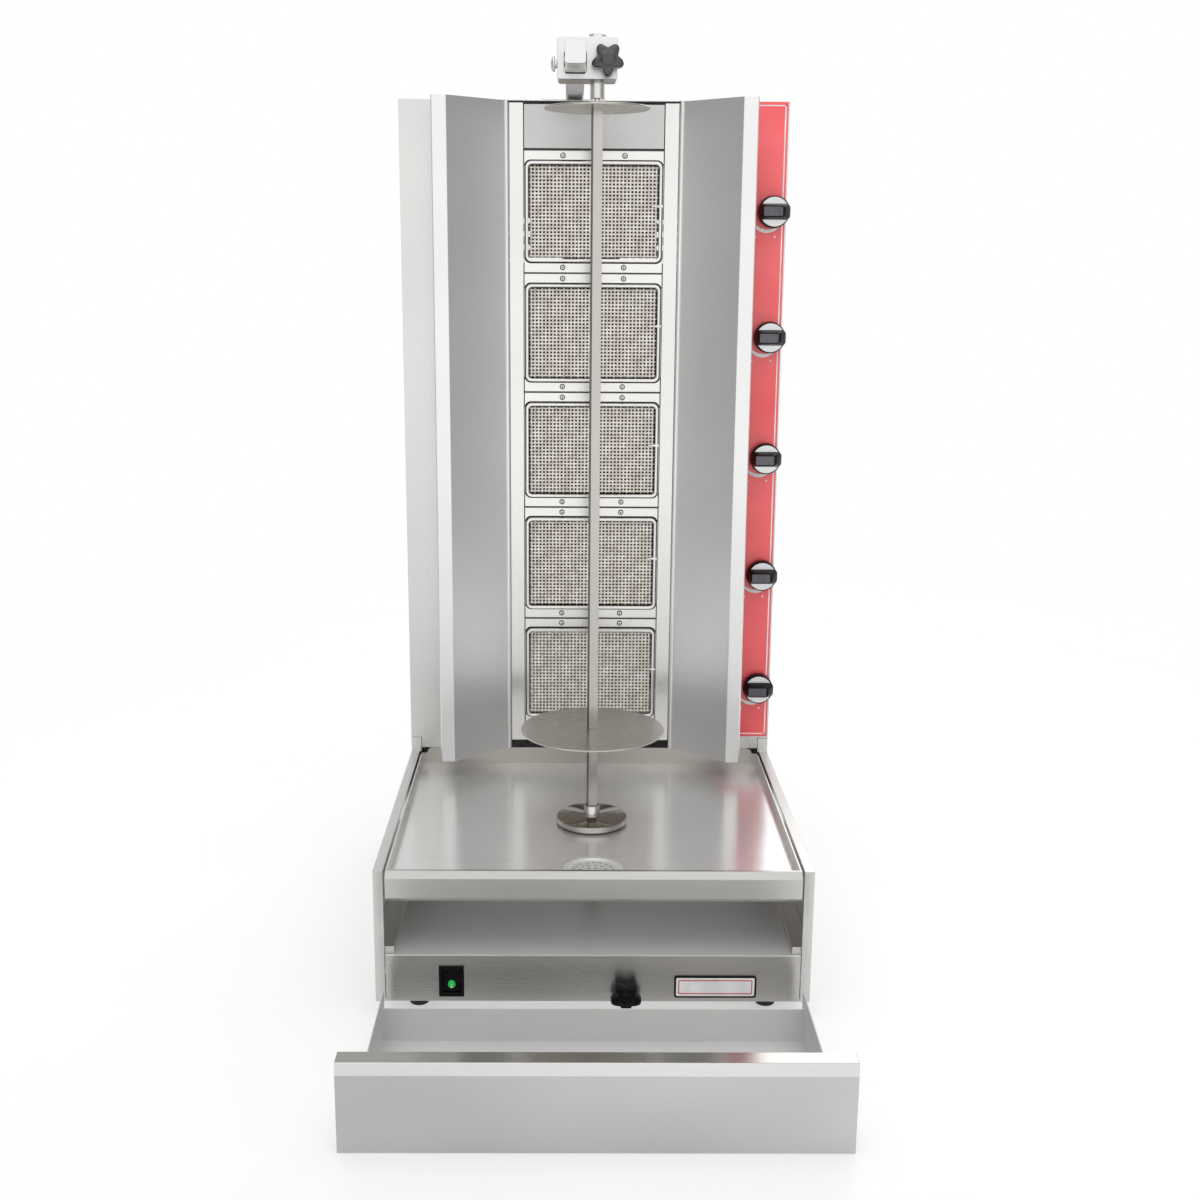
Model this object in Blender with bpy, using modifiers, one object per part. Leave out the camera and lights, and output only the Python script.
"""Vertical rotisserie broiler: five gas burners in a tower, a driven spit in front, a grease tray and drawer below.

Metres, +Z up, front towards -Y. The origin is on the floor, under the spit's axis.
"""

import math

import bmesh
import bpy
from mathutils import Matrix, Vector

# Overall sizes
WIDTH = 0.540
FRONT_Y = -0.2104  # front face of the base
TOWER_Y = 0.243  # front face of the tower
BACK_Y = 0.482
SIDE_Z = 0.0234  # underside of the side panels: the height of the feet
RAIL_Z = 0.1976  # top of the base's side rails
TOWER_Z = 1.139
SHEET = 0.0015
GAP = 0.0003
HALF = WIDTH / 2

# Base
RAIL_WIDTH = 0.0125
HOUSING_Z = (0.0245, 0.0866)
TRAY_FLOOR_Z = 0.178
LIP_Z = (0.1567, 0.1945)
TRAY_HALF = 0.2555
SLOT = (0.011, -0.011, 0.0445)  # half width, front and rear of the shaft's slot
STRAINER_Y = -0.1585
CARRIAGE_TRAVEL = 0.035

# Burners
BURNERS = 5
BURNER_TOP_Z = 1.0731
BURNER_PITCH = 0.1669
BURNER_HALF = 0.0972
RIM_SIZE = (0.1916, 0.1376)
WINDOW_SIZE = (0.1828, 0.1280)
RIM_DEPTH = 0.007

# Gas side
KNOB_X = 0.2510
KNOB_TOP_Z = 0.9912
KNOB_PITCH = 0.1725
KNOB_RADIUS = 0.0222
PIPE_RADIUS = 0.0107
PIPE_Y = 0.302

# Heat shields
SHIELD_Z = (0.2055, 1.1375)
SHIELD_HINGE = (0.1212, 0.2385)
SHIELD_EDGE = (0.1987, 0.1711)
SHIELD_FLANGE = 0.0205

# Spit
ROD_SIDE = 0.012
ROD_TURN = math.radians(12)
ROD_Z = (0.192, 1.112)
PEDESTAL_RADIUS = 0.0475
PEDESTAL_Z = (0.1785, 0.189)
HUB_TOP_Z = 0.204
LOWER_DISC = (0.0955, 0.3100, 0.3125)
TOP_DISC = (0.0645, 1.1030, 1.1058)

# Top arm and carriage
ARM_X = -0.0270
ARM_SIDE = 0.0244
ARM_Z = 1.1425
ARM_Y = (-0.1120, 0.4000)
BLOCK_X = (-0.0485, 0.0235)
BLOCK_Y = (-0.0258, 0.0252)
BLOCK_Z = (1.1350, 1.1835)
PIN_RADIUS = 0.0090

# Drawer, out of its opening and standing on the floor
DRAWER_BACK_Y = -0.2660
DRAWER_FLANGE_Y = -0.4716
DRAWER_FRONT_Y = -0.4955
DRAWER_HALF = 0.2560
DRAWER_FRONT_HALF = 0.2750
DRAWER_SIDE_Z = 0.0580
DRAWER_REAR_Z = 0.0450
DRAWER_FRONT_Z = 0.1055

STEEL = (0.62, 0.61, 0.59)


def clear_scene():
    for obj in list(bpy.data.objects):
        bpy.data.objects.remove(obj, do_unlink=True)
    for mesh in list(bpy.data.meshes):
        bpy.data.meshes.remove(mesh)


def collection(name, hidden=False):
    made = bpy.data.collections.new(name)
    bpy.context.scene.collection.children.link(made)
    made.hide_render = hidden
    return made


clear_scene()
PARTS = collection("vertical_rotisserie_broiler")
CUTTERS = collection("cutters", hidden=True)


def material(name, colour, metallic, roughness):
    made = bpy.data.materials.new(name)
    made.use_nodes = True
    shader = made.node_tree.nodes["Principled BSDF"]
    shader.inputs["Base Color"].default_value = (*colour, 1)
    shader.inputs["Metallic"].default_value = metallic
    shader.inputs["Roughness"].default_value = roughness
    return made


def new_object(mesh_name, bm):
    mesh = bpy.data.meshes.new(mesh_name)
    bmesh.ops.recalc_face_normals(bm, faces=bm.faces)
    bm.to_mesh(mesh)
    bm.free()
    obj = bpy.data.objects.new(mesh_name, mesh)
    CUTTERS.objects.link(obj)
    obj.hide_render = True
    obj.display_type = "WIRE"
    return obj


def box(x, y, z):
    """A block between three pairs of limits."""
    bm = bmesh.new()
    bmesh.ops.create_cube(bm, size=1)
    size = Vector((abs(x[1] - x[0]), y[1] - y[0], z[1] - z[0]))
    middle = Vector((sum(x) / 2, sum(y) / 2, sum(z) / 2))
    bmesh.ops.scale(bm, vec=size, verts=bm.verts)
    bmesh.ops.translate(bm, vec=middle, verts=bm.verts)
    return new_object("block", bm)


def rod(start, end, radius, sides=20, end_radius=None, turn=0.0):
    """A cylinder or cone from one point to another."""
    start, end = Vector(start), Vector(end)
    axis = end - start
    bm = bmesh.new()
    bmesh.ops.create_cone(
        bm, cap_ends=True, segments=sides, radius1=radius, depth=axis.length,
        radius2=radius if end_radius is None else end_radius,
    )
    aim = Vector((0, 0, 1)).rotation_difference(axis).to_matrix().to_4x4()
    place = Matrix.Translation((start + end) / 2) @ aim @ Matrix.Rotation(turn, 4, "Z")
    bmesh.ops.transform(bm, matrix=place, verts=bm.verts)
    return new_object("rod", bm)


def prism(outline, depth, to_world):
    """A filled 2D curve given a thickness; to_world places its XY plane."""
    curve = bpy.data.curves.new("outline", "CURVE")
    curve.dimensions = "2D"
    curve.fill_mode = "BOTH"
    curve.extrude = depth / 2
    spline = curve.splines.new("POLY")
    spline.points.add(len(outline) - 1)
    for point, (u, v) in zip(spline.points, outline):
        point.co = (u, v, 0, 1)
    spline.use_cyclic_u = True
    drawn = bpy.data.objects.new("outline", curve)
    bpy.context.scene.collection.objects.link(drawn)
    bpy.context.view_layer.update()
    bm = bmesh.new()
    bm.from_mesh(bpy.data.meshes.new_from_object(drawn))
    bpy.data.objects.remove(drawn, do_unlink=True)
    bmesh.ops.remove_doubles(bm, verts=bm.verts, dist=1e-6)
    bmesh.ops.transform(bm, matrix=to_world, verts=bm.verts)
    return new_object("prism", bm)


def loft(back, front, back_y, front_y):
    """Joins one outline in (x, z) to another of as many points, nearer the front."""
    bm = bmesh.new()
    rings = [[bm.verts.new((u, y, v)) for u, v in ring] for ring, y in ((back, back_y), (front, front_y))]
    for i in range(len(back)):
        j = (i + 1) % len(back)
        bm.faces.new((rings[0][i], rings[0][j], rings[1][j], rings[1][i]))
    for ring in rings:
        bm.faces.new(ring)
    return new_object("loft", bm)


def along_x(x):
    """Places an outline drawn in (y, z), thick along X."""
    return Matrix.Translation((x, 0, 0)) @ Matrix(((0, 0, 1, 0), (1, 0, 0, 0), (0, 1, 0, 0), (0, 0, 0, 1)))


def along_y(y):
    """Places an outline drawn in (x, z), thick along Y."""
    return Matrix.Translation((0, y, 0)) @ Matrix(((1, 0, 0, 0), (0, 0, -1, 0), (0, 1, 0, 0), (0, 0, 0, 1)))


def along_z(z):
    return Matrix.Translation((0, 0, z))


def rounded(centre, size, radius, steps=3):
    """A rectangle's outline with rounded corners."""
    points = []
    for corner in range(4):
        sx, sy = ((1, 1), (-1, 1), (-1, -1), (1, -1))[corner]
        cx = centre[0] + sx * (size[0] / 2 - radius)
        cy = centre[1] + sy * (size[1] / 2 - radius)
        for step in range(steps + 1):
            angle = math.pi / 2 * (corner + step / steps)
            points.append((cx + radius * math.cos(angle), cy + radius * math.sin(angle)))
    return points


def star(centre, outer, inner, lobes, start):
    """The outline of a knob with round lobes."""
    points = []
    for step in range(lobes * 8):
        angle = start + 2 * math.pi * step / (lobes * 8)
        wave = 0.5 + 0.5 * math.cos(lobes * (angle - start))
        reach = inner + (outer - inner) * wave ** 0.8
        points.append((centre[0] + reach * math.cos(angle), centre[1] + reach * math.sin(angle)))
    return points


def sheet(path, thickness):
    """The closed outline of a bent sheet that follows a path on its left side."""
    points = [Vector(p) for p in path]
    sides = [(b - a).normalized() for a, b in zip(points, points[1:])]
    normals = [Vector((-d.y, d.x)) for d in sides]
    offset = []
    for i, point in enumerate(points):
        before, after = normals[max(i - 1, 0)], normals[min(i, len(normals) - 1)]
        mitre = (before + after).normalized()
        offset.append(point + mitre * thickness / mitre.dot(after))
    return [tuple(p) for p in points + offset[::-1]]


def join(target, other, operation):
    step = target.modifiers.new(operation.title(), "BOOLEAN")
    step.operation = operation
    step.solver = "EXACT"
    step.object = other


def piece(name, first, add=(), cut=(), colour=STEEL, metallic=1.0, roughness=0.3, bevel=0.0, pivot=None):
    """Makes a named part: the first solid with others joined to it and cutters taken away."""
    first.name = name
    first.data.name = name
    CUTTERS.objects.unlink(first)
    PARTS.objects.link(first)
    first.hide_render = False
    first.display_type = "TEXTURED"
    if bevel:
        edge = first.modifiers.new("Bevel", "BEVEL")
        edge.width = bevel
        edge.segments = 1
        edge.limit_method = "ANGLE"
    for kind, others in (("UNION", add), ("DIFFERENCE", cut)):
        for other in others:
            other.name = f"{name}_{kind.lower()}"
            join(first, other, kind)
    first.data.materials.append(material(name, colour, metallic, roughness))
    if pivot:
        first.data.transform(Matrix.Translation(-Vector(pivot)))
        first.location = pivot
    return first


def span(side, near, far):
    """Limits in X from near to far, on the left (-1) or the right (1)."""
    return tuple(sorted((side * near, side * far)))


SIDES = (("left", -1), ("right", 1))

# ---- Base ----

for word, side in SIDES:
    corner_z = RAIL_Z + 0.0211
    piece(
        f"base_side_{word}",
        box(span(side, HALF, HALF - SHEET), (FRONT_Y, BACK_Y - SHEET - GAP), (SIDE_Z, RAIL_Z)),
        add=(
            box(span(side, HALF, HALF - RAIL_WIDTH), (FRONT_Y, TOWER_Y + 0.02), (RAIL_Z - SHEET, RAIL_Z)),
            box(span(side, HALF, HALF - RAIL_WIDTH), (FRONT_Y, FRONT_Y + SHEET), (SIDE_Z, RAIL_Z)),
            box(span(side, HALF, HALF - SHEET), (TOWER_Y, TOWER_Y + 0.03), (RAIL_Z - 0.01, corner_z)),
            box(span(side, HALF, HALF - 0.0152), (TOWER_Y, TOWER_Y + SHEET), (RAIL_Z - SHEET, corner_z)),
        ),
    )
    piece(
        f"drawer_rail_{word}",
        box(span(side, 0.2458, HALF - SHEET - GAP), (FRONT_Y + 0.002, 0.060), (0.0960, 0.0972)),
        add=(box(span(side, 0.2470, 0.2458), (FRONT_Y + 0.002, 0.060), (HOUSING_Z[1] + GAP, 0.0972)),),
        roughness=0.35,
    )

LIP = [
    (FRONT_Y + 0.0120, LIP_Z[1]),
    (FRONT_Y + 0.0075, LIP_Z[1]),
    (FRONT_Y, LIP_Z[1] - 0.0075),
    (FRONT_Y, LIP_Z[0] + 0.0048),
    (FRONT_Y + 0.0040, LIP_Z[0]),
    (FRONT_Y + 0.0120, LIP_Z[0]),
]
TRAY_BACK_Y = TOWER_Y + 0.0022
piece(
    "drip_tray",
    box((-TRAY_HALF, TRAY_HALF), (FRONT_Y + 0.011, TRAY_BACK_Y), (TRAY_FLOOR_Z - SHEET, 0.1940)),
    add=(prism(LIP, 2 * TRAY_HALF, along_x(0)),
         prism(rounded((0, 0.1905), (0.493, 0.0245), 0.009), SHEET, along_y(TRAY_BACK_Y - SHEET / 2)),
         rod((0, STRAINER_Y, 0.1660), (0, STRAINER_Y, TRAY_FLOOR_Z - 0.0005), 0.0350, 32)),
    cut=(
        box((-TRAY_HALF + SHEET, TRAY_HALF - SHEET), (FRONT_Y + 0.0119, TRAY_BACK_Y - SHEET), (TRAY_FLOOR_Z, 0.3)),
        box((-SLOT[0], SLOT[0]), SLOT[1:], (0.15, 0.2)),
        rod((0, STRAINER_Y, 0.15), (0, STRAINER_Y, 0.2), 0.0332, 32),
    ),
    roughness=0.22,
)

holes = []
for ring, (count, radius) in enumerate(((1, 0.0), (6, 0.0105), (10, 0.0205))):
    for index in range(count):
        angle = 2 * math.pi * index / count + 0.3 * ring
        spot = (radius * math.cos(angle), STRAINER_Y + radius * math.sin(angle))
        holes.append(rod((*spot, 0.165), (*spot, 0.190), 0.0028, 8))
piece(
    "drain_strainer",
    rod((0, STRAINER_Y, TRAY_FLOOR_Z + GAP), (0, STRAINER_Y, TRAY_FLOOR_Z + 0.0015), 0.0378, 32),
    add=(rod((0, STRAINER_Y, 0.1675), (0, STRAINER_Y, TRAY_FLOOR_Z + 0.0010), 0.0325, 32),),
    cut=[
        rod((0, STRAINER_Y, 0.1764), (0, STRAINER_Y, 0.19), 0.0310, 32),
        rod((0, STRAINER_Y, 0.1600), (0, STRAINER_Y, 0.1750), 0.0310, 32),
    ] + holes,
    pivot=(0, STRAINER_Y, TRAY_FLOOR_Z),
)

HOUSING_HALF = 0.2570
SWITCH_X = -0.1755
SWITCH_Z = 0.0517
BASE_KNOB = (0.0405, 0.0385)
piece(
    "motor_housing",
    box((-HOUSING_HALF, HOUSING_HALF), (FRONT_Y, 0.2300), HOUSING_Z),
    cut=(
        box((-0.3, 0.3), (FRONT_Y + SHEET, 0.3), (0.0, HOUSING_Z[1] - SHEET)),
        box((SWITCH_X - 0.0135, SWITCH_X + 0.0135), (-0.3, FRONT_Y + 0.01), (SWITCH_Z - 0.018, SWITCH_Z + 0.018)),
        rod((BASE_KNOB[0], FRONT_Y - 0.01, BASE_KNOB[1]), (BASE_KNOB[0], FRONT_Y + 0.01, BASE_KNOB[1]), 0.0055, 20),
        box((-SLOT[0], SLOT[0]), SLOT[1:], (0.07, 0.1)),
    ),
    roughness=0.3,
)
piece("base_floor", box((-0.2670, 0.2670), (FRONT_Y + 0.0060, BACK_Y - 0.0025), (0.0245, 0.0262)), roughness=0.45)

for word, side in SIDES:
    for place, y in (("front", -0.165), ("rear", 0.430)):
        piece(
            f"foot_{place}_{word}",
            rod((side * 0.2205, y, 0), (side * 0.2205, y, 0.0242), 0.0125, 20, end_radius=0.0150),
            colour=(0.02, 0.02, 0.02), metallic=0, roughness=0.7,
        )

piece(
    "switch_bezel",
    box((SWITCH_X - 0.0156, SWITCH_X + 0.0156), (FRONT_Y - 0.0022, FRONT_Y - GAP), (SWITCH_Z - 0.0203, SWITCH_Z + 0.0203)),
    add=(box((SWITCH_X - 0.0131, SWITCH_X + 0.0131), (FRONT_Y - 0.001, FRONT_Y + 0.026), (SWITCH_Z - 0.0176, SWITCH_Z + 0.0176)),),
    cut=(box((SWITCH_X - 0.0112, SWITCH_X + 0.0112), (FRONT_Y - 0.01, FRONT_Y + 0.0200), (SWITCH_Z - 0.0152, SWITCH_Z + 0.0152)),),
    colour=(0.02, 0.02, 0.02), metallic=0, roughness=0.4,
)
ROCKER = [(-0.0062, -0.0146), (-0.0028, -0.0010), (-0.0045, 0.0010), (-0.0018, 0.0146), (0.0120, 0.0080), (0.0120, -0.0080)]
piece(
    "rocker",
    prism([(FRONT_Y + 0.004 + v * 0.75, SWITCH_Z + w * 0.92) for v, w in ROCKER], 0.0216, along_x(SWITCH_X)),
    colour=(0.02, 0.05, 0.02), metallic=0, roughness=0.3, pivot=(SWITCH_X, FRONT_Y + 0.0065, SWITCH_Z),
)


def star_knob(name, centre, outer, stud_end):
    """A lobed clamping knob on a stud; centre is the middle of its back face, facing -Y."""
    x, y, z = centre
    piece(
        name,
        prism(star((x, z), outer, outer * 0.66, 5, -math.pi / 2), 0.0150, along_y(y - 0.0135)),
        add=(
            rod((x, y, z), (x, y - 0.010, z), outer * 0.42, 20),
            rod((x, y - 0.012, z), (x, y - 0.0235, z), outer * 0.40, 20, end_radius=outer * 0.30),
            rod((x, y - 0.005, z), (x, stud_end, z), 0.0040, 14),
        ),
        colour=(0.02, 0.02, 0.02), metallic=0, roughness=0.35, pivot=centre,
    )


star_knob("base_knob", (BASE_KNOB[0], FRONT_Y - 0.001, BASE_KNOB[1]), 0.0198, -0.0800)
piece(
    "maker_plate",
    prism(rounded((0.1517, 0.0449), (0.1022, 0.0292), 0.003, 2), 0.0016, along_y(FRONT_Y - 0.0011)),
    colour=(0.75, 0.75, 0.75), metallic=0.6, roughness=0.4,
)

# ---- Drive under the tray ----

piece(
    "motor_carriage",
    box((-0.0600, 0.0600), (-0.0600, 0.1150), (0.0268, 0.0290)),
    add=(
        box((0.0300, 0.0520), (-0.0600, -0.0560), (0.0270, 0.0500)),
        box((-0.0600, -0.0560), (-0.0600, 0.1150), (0.0270, 0.0360)),
        box((0.0560, 0.0600), (-0.0600, 0.1150), (0.0270, 0.0360)),
    ),
    roughness=0.5,
)
piece(
    "gear_motor",
    box((-0.0380, 0.0380), (-0.0350, 0.0350), (0.0293, 0.0700)),
    add=(rod((0, 0.030, 0.0520), (0, 0.110, 0.0520), 0.0220, 28),),
    colour=(0.25, 0.27, 0.30), metallic=0.4, roughness=0.5, bevel=0.002,
)

# ---- Tower ----

for word, side in SIDES:
    cuts = [box(span(side, HALF + 0.01, HALF - 0.0158), (TOWER_Y - 0.01, TOWER_Y + 0.0305), (0.15, RAIL_Z + 0.0217))]
    if side > 0:
        for index in range(BURNERS):
            z = KNOB_TOP_Z - index * KNOB_PITCH
            cuts.append(rod((KNOB_X, TOWER_Y - 0.01, z), (KNOB_X, TOWER_Y + 0.01, z), 0.0060, 16))
    path = [(side * 0.1190, TOWER_Y), (side * HALF, TOWER_Y), (side * HALF, BACK_Y - SHEET - GAP)]
    outline = sheet(path, SHEET if side > 0 else -SHEET)
    piece(
        f"tower_side_{word}",
        prism(outline, TOWER_Z - 0.2032, along_z((TOWER_Z + 0.2032) / 2)),
        add=(box(span(side, HALF, HALF - SHEET), (TOWER_Y + 0.031, BACK_Y - SHEET - GAP), (RAIL_Z + GAP, 0.21)),),
        cut=cuts,
    )

vents = [
    box((x - 0.060, x + 0.060), (y, y + 0.008), (1.1, 1.2)) for x in (-0.150, 0.150) for y in (0.385, 0.405, 0.425)
]
piece(
    "tower_top",
    box((-HALF + SHEET + GAP, HALF - SHEET - GAP), (TOWER_Y + SHEET + GAP, BACK_Y - SHEET - GAP), (TOWER_Z - SHEET, TOWER_Z)),
    cut=vents, roughness=0.35,
)
louvres = [
    box((x - 0.070, x + 0.070), (0.4, 0.5), (z, z + 0.008))
    for x in (-0.115, 0.115) for z in (0.060, 0.080, 0.100, 0.920, 0.940, 0.960, 0.980)
]
GLAND = (-0.2000, 0.1400)
piece(
    "rear_cover",
    box((-HALF + GAP, HALF - GAP), (BACK_Y - SHEET, BACK_Y), (0.0250, TOWER_Z - GAP)),
    cut=louvres + [
        rod((KNOB_X - 0.006, 0.4, 0.2400), (KNOB_X - 0.006, 0.5, 0.2400), 0.0125, 24),
        rod((GLAND[0], 0.4, GLAND[1]), (GLAND[0], 0.5, GLAND[1]), 0.0080, 20),
    ],
    roughness=0.4,
)
piece(
    "cable_gland",
    rod((GLAND[0], BACK_Y + GAP, GLAND[1]), (GLAND[0], BACK_Y + 0.0055, GLAND[1]), 0.0125, 6),
    add=(
        rod((GLAND[0], BACK_Y - 0.015, GLAND[1]), (GLAND[0], BACK_Y + 0.003, GLAND[1]), 0.0076, 20),
        rod((GLAND[0], BACK_Y + 0.004, GLAND[1]), (GLAND[0], BACK_Y + 0.0140, GLAND[1]), 0.0098, 20, end_radius=0.0080),
    ),
    cut=(rod((GLAND[0], 0.4, GLAND[1]), (GLAND[0], 0.6, GLAND[1]), 0.0045, 16),),
    colour=(0.03, 0.03, 0.03), metallic=0, roughness=0.5,
)
BAY_TOP_Z = 1.1350
piece(
    "header_panel",
    box((-BURNER_HALF, BURNER_HALF), (TOWER_Y, TOWER_Y + SHEET), (BURNER_TOP_Z + 0.0018, BAY_TOP_Z - 0.0018)),
    add=(box((-BURNER_HALF, BURNER_HALF), (TOWER_Y, TOWER_Y + 0.012), (BAY_TOP_Z - 0.0033, BAY_TOP_Z - 0.0018)),),
)
piece(
    "bay_frame",
    box((-0.1178, 0.1178), (TOWER_Y - 0.0015, TOWER_Y + 0.0100), (0.2160, BAY_TOP_Z)),
    cut=(box((-BURNER_HALF - 0.0008, BURNER_HALF + 0.0008), (0.2, 0.3), (0.2360, 1.2)),
         box((-0.1163, 0.1163), (TOWER_Y, TOWER_Y + 0.02), (0.2175, 1.2))),
    roughness=0.2,
)
piece(
    "control_panel",
    box((0.1960, HALF - 0.0020), (TOWER_Y - 0.0015, TOWER_Y - GAP), (0.2225, TOWER_Z - 0.0010)),
    cut=[
        rod((KNOB_X, 0.2, KNOB_TOP_Z - i * KNOB_PITCH), (KNOB_X, 0.3, KNOB_TOP_Z - i * KNOB_PITCH), 0.0060, 16)
        for i in range(BURNERS)
    ],
    colour=(0.75, 0.03, 0.04), metallic=0, roughness=0.25,
)

# ---- Burners and gas ----

for index in range(BURNERS):
    number = index + 1
    z = BURNER_TOP_Z - (index + 0.5) * BURNER_PITCH
    knob_z = KNOB_TOP_Z - index * KNOB_PITCH
    half_z = BURNER_PITCH / 2 - 0.0007
    piece(
        f"burner_frame_{number}",
        box((-BURNER_HALF, BURNER_HALF), (TOWER_Y, TOWER_Y + SHEET), (z - half_z, z + half_z)),
        add=(prism(rounded((0, z), RIM_SIZE, 0.0085), RIM_DEPTH + SHEET, along_y(TOWER_Y + SHEET - (RIM_DEPTH + SHEET) / 2)),),
        cut=(prism(rounded((0, z), WINDOW_SIZE, 0.0050), 0.04, along_y(TOWER_Y)),),
        roughness=0.22,
    )
    piece(
        f"burner_body_{number}",
        box((-0.0885, 0.0885), (TOWER_Y + 0.0080, TOWER_Y + 0.0480), (z - 0.0620, z + 0.0620)),
        add=(
            rod((0.080, PIPE_Y - 0.032, knob_z), (0.190, PIPE_Y - 0.032, knob_z), 0.0110, 16),
            rod((0.180, PIPE_Y - 0.032, knob_z), (0.206, PIPE_Y - 0.032, knob_z), 0.0110, 16, end_radius=0.0150),
        ),
        cut=(
            box((-0.0860, 0.0860), (TOWER_Y + 0.0200, TOWER_Y + 0.0460), (z - 0.0595, z + 0.0595)),
            rod((0.070, PIPE_Y - 0.032, knob_z), (0.210, PIPE_Y - 0.032, knob_z), 0.0090, 16),
        ),
        colour=(0.62, 0.55, 0.45), metallic=0, roughness=0.8,
    )
    piece(
        f"gas_valve_{number}",
        rod((KNOB_X, TOWER_Y + 0.0025, knob_z), (KNOB_X, PIPE_Y - PIPE_RADIUS - 0.0005, knob_z), 0.0105, 20),
        add=(
            rod((KNOB_X, TOWER_Y + 0.004, knob_z), (KNOB_X, TOWER_Y - 0.0220, knob_z), 0.0040, 14),
            rod((KNOB_X, PIPE_Y - 0.032, knob_z), (0.2110, PIPE_Y - 0.032, knob_z), 0.0055, 14),
        ),
        colour=(0.72, 0.55, 0.28), roughness=0.35,
    )
    face_y = TOWER_Y - 0.0195
    grip = loft(
        rounded((KNOB_X + 0.0003, knob_z), (0.0430, 0.0218), 0.0045, 2),
        rounded((KNOB_X - 0.0025, knob_z), (0.0310, 0.0146), 0.0035, 2),
        face_y + 0.001, face_y - 0.0150,
    )
    piece(
        f"gas_knob_{number}",
        rod((KNOB_X, TOWER_Y - 0.0040, knob_z), (KNOB_X, face_y, knob_z), KNOB_RADIUS, 32, end_radius=KNOB_RADIUS - 0.001),
        add=(grip,),
        cut=(rod((KNOB_X, TOWER_Y, knob_z), (KNOB_X, TOWER_Y - 0.0235, knob_z), 0.0043, 14),),
        colour=(0.02, 0.02, 0.02), metallic=0, roughness=0.3, pivot=(KNOB_X, TOWER_Y - 0.004, knob_z),
    )

piece(
    "gas_manifold",
    rod((KNOB_X - 0.006, PIPE_Y, 0.2400), (KNOB_X - 0.006, PIPE_Y, 1.0300), PIPE_RADIUS, 20),
    add=(
        rod((KNOB_X - 0.006, PIPE_Y - 0.0130, 0.2400), (KNOB_X - 0.006, BACK_Y + 0.0140, 0.2400), PIPE_RADIUS, 24),
        rod((KNOB_X - 0.006, PIPE_Y, 0.2250), (KNOB_X - 0.006, PIPE_Y, 0.2560), 0.0140, 20),
    ),
    cut=(rod((KNOB_X - 0.006, 0.470, 0.2400), (KNOB_X - 0.006, 0.6, 0.2400), 0.0080, 20),),
    colour=(0.55, 0.55, 0.52), roughness=0.4,
)

# ---- Heat shields ----

for word, side in SIDES:
    hx, hy = SHIELD_HINGE
    ex, ey = SHIELD_EDGE
    path = [(side * x, y) for x, y in (
        (hx + 0.0010, hy - 0.0009), (ex, ey), (ex + SHIELD_FLANGE, ey), (ex + SHIELD_FLANGE, ey + 0.0100))]
    middle_z = sum(SHIELD_Z) / 2
    piece(
        f"heat_shield_{word}",
        prism(sheet(path, SHEET if side > 0 else -SHEET), SHIELD_Z[1] - SHIELD_Z[0], along_z(middle_z)),
        add=(rod((side * hx, hy, SHIELD_Z[0] - 0.001), (side * hx, hy, SHIELD_Z[1] + 0.001), 0.0034, 16),),
        roughness=0.4, pivot=(side * hx, hy, middle_z),
    )

# ---- Spit ----

piece(
    "drive_plate",
    rod((0, 0, PEDESTAL_Z[0] + 0.002), (0, 0, PEDESTAL_Z[1]), PEDESTAL_RADIUS, 48),
    add=(
        rod((0, 0, PEDESTAL_Z[0] + GAP), (0, 0, PEDESTAL_Z[0] + 0.003), PEDESTAL_RADIUS - 0.003, 48),
        rod((0, 0, PEDESTAL_Z[1] - 0.001), (0, 0, HUB_TOP_Z), 0.0105, 24),
        rod((0, 0, 0.0703), (0, 0, PEDESTAL_Z[1] - 0.002), 0.0080, 20),
    ),
    cut=(rod((0, 0, ROD_Z[0] - GAP), (0, 0, 0.3), (ROD_SIDE / 2 + 0.0002) * math.sqrt(2), 4, turn=ROD_TURN + math.pi / 4),),
    roughness=0.12,
)
piece(
    "spit_rod",
    rod((0, 0, ROD_Z[0]), (0, 0, ROD_Z[1]), ROD_SIDE / 2 * math.sqrt(2), 4, turn=ROD_TURN + math.pi / 4),
    cut=(rod((0, 0, ROD_Z[1] - 0.0130), (0, 0, 1.2), 0.0037, 16),),
    roughness=0.25,
)
for name, (radius, low, high), collar in (("lower_disc", LOWER_DISC, -0.012), ("top_disc", TOP_DISC, 0)):
    hole = (ROD_SIDE / 2 + 0.0003) * math.sqrt(2)
    hub = rod((0, 0, low + 0.001), (0, 0, low + collar), 0.0120, 24) if collar else None
    piece(
        name,
        rod((0, 0, low), (0, 0, high), radius, 56),
        add=(hub,) if hub else (),
        cut=(rod((0, 0, low - 0.05), (0, 0, high + 0.05), hole, 4, turn=ROD_TURN + math.pi / 4),),
        roughness=0.25,
    )

# ---- Top arm and carriage ----

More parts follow.
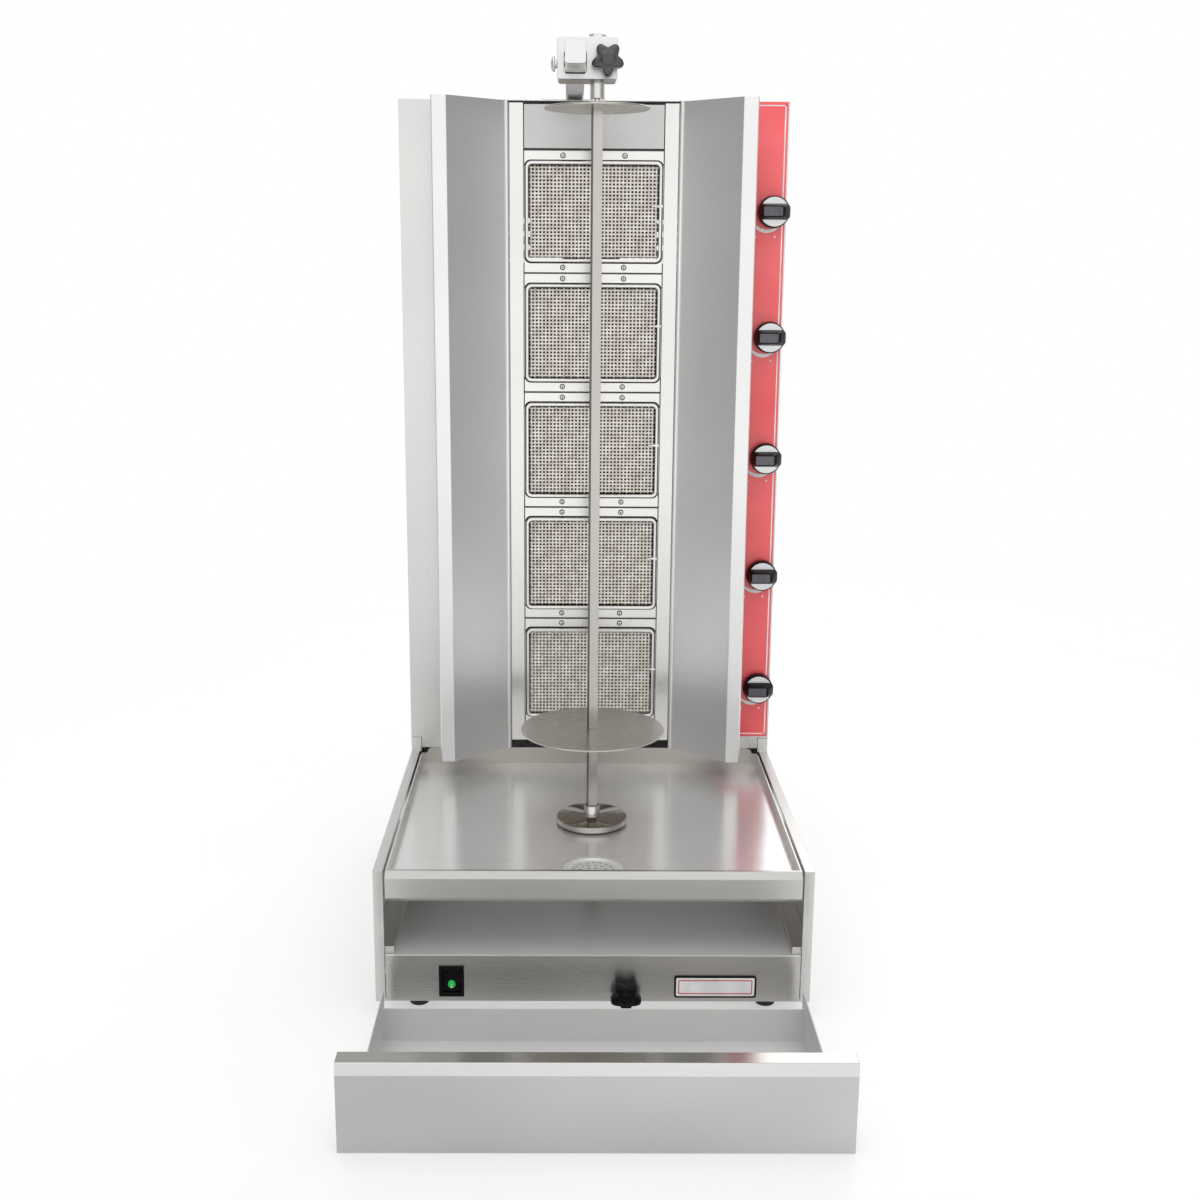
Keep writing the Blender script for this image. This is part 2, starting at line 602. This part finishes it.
arm_mid_z = ARM_Z + ARM_SIDE / 2
piece(
    "support_arm",
    prism(rounded((ARM_X, arm_mid_z), (ARM_SIDE, ARM_SIDE), 0.0030), ARM_Y[1] - ARM_Y[0], along_y(sum(ARM_Y) / 2)),
    add=(box((ARM_X - 0.045, ARM_X + 0.045), (TOWER_Y + 0.030, TOWER_Y + 0.150), (TOWER_Z + GAP, ARM_Z + 0.001)),),
    roughness=0.28,
)
CLEAR = 0.0010
CLAMP = (-0.0005, 1.1553)
block = piece(
    "top_carriage",
    box(BLOCK_X, BLOCK_Y, BLOCK_Z),
    cut=(
        box((ARM_X - ARM_SIDE / 2 - CLEAR, ARM_X + ARM_SIDE / 2 + CLEAR), (-0.1, 0.1),
            (ARM_Z - CLEAR, ARM_Z + ARM_SIDE + CLEAR)),
        rod((0, 0, 1.1), (0, 0, 1.2), PIN_RADIUS + 0.0003, 28),
        rod((0.0115, -0.1, 1.1555), (0.0115, -0.0100, 1.1555), 0.0043, 14),
        rod((-0.1, CLAMP[0], CLAMP[1]), (-0.0300, CLAMP[0], CLAMP[1]), 0.0033, 14),
    ),
    bevel=0.0006, roughness=0.3,
)
star_knob("carriage_knob", (0.0115, BLOCK_Y[0] - 0.004, 1.1555), 0.0200, -0.0140)
piece(
    "carriage_screw",
    rod((BLOCK_X[0] - 0.0030, *CLAMP), (BLOCK_X[0] - 0.0085, *CLAMP), 0.0092, 24),
    add=(
        rod((BLOCK_X[0] - 0.0004, *CLAMP), (BLOCK_X[0] - 0.0035, *CLAMP), 0.0055, 20),
        rod((BLOCK_X[0] - 0.0010, *CLAMP), (ARM_X - ARM_SIDE / 2 - GAP, *CLAMP), 0.0030, 14),
    ),
    pivot=(BLOCK_X[0], *CLAMP), roughness=0.25,
)
piece(
    "centre_pin",
    rod((0, 0, TOP_DISC[2] + 0.0090), (0, 0, BLOCK_Z[1] + 0.002), PIN_RADIUS, 28),
    add=(
        rod((0, 0, BLOCK_Z[1] + GAP), (0, 0, BLOCK_Z[1] + 0.0065), 0.0105, 6),
        rod((0, 0, TOP_DISC[2] + 0.010), (0, 0, ROD_Z[1] - 0.0110), 0.0034, 16),
    ),
    roughness=0.25,
)

# ---- Drawer ----

inner = DRAWER_HALF - SHEET
piece(
    "drawer_pan",
    box((-DRAWER_HALF, DRAWER_HALF), (DRAWER_FLANGE_Y + GAP, -0.2480), (0, DRAWER_SIDE_Z)),
    cut=(
        box((-inner, inner), (DRAWER_FLANGE_Y + 0.002, DRAWER_BACK_Y - SHEET), (SHEET, 0.2)),
        box((-inner, inner), (DRAWER_BACK_Y - 0.005, 0.0), (DRAWER_REAR_Z, 0.2)),
        box((-inner, inner), (DRAWER_BACK_Y, 0.0), (-0.1, 0.2)),
    ),
    roughness=0.3,
)
FRONT = [
    (DRAWER_FLANGE_Y, DRAWER_FRONT_Z),
    (DRAWER_FRONT_Y + 0.0018, DRAWER_FRONT_Z),
    (DRAWER_FRONT_Y - 0.0005, 0.0905),
    (DRAWER_FRONT_Y, 0.0010),
    (DRAWER_FRONT_Y + 0.0012, 0),
    (DRAWER_FLANGE_Y, 0),
]
piece(
    "drawer_front",
    prism(FRONT, 2 * DRAWER_FRONT_HALF, along_x(0)),
    cut=(box((-DRAWER_FRONT_HALF + SHEET, DRAWER_FRONT_HALF - SHEET), (DRAWER_FRONT_Y + 0.0025, -0.4),
             (0.0020, DRAWER_FRONT_Z - SHEET)),),
    roughness=0.3,
)
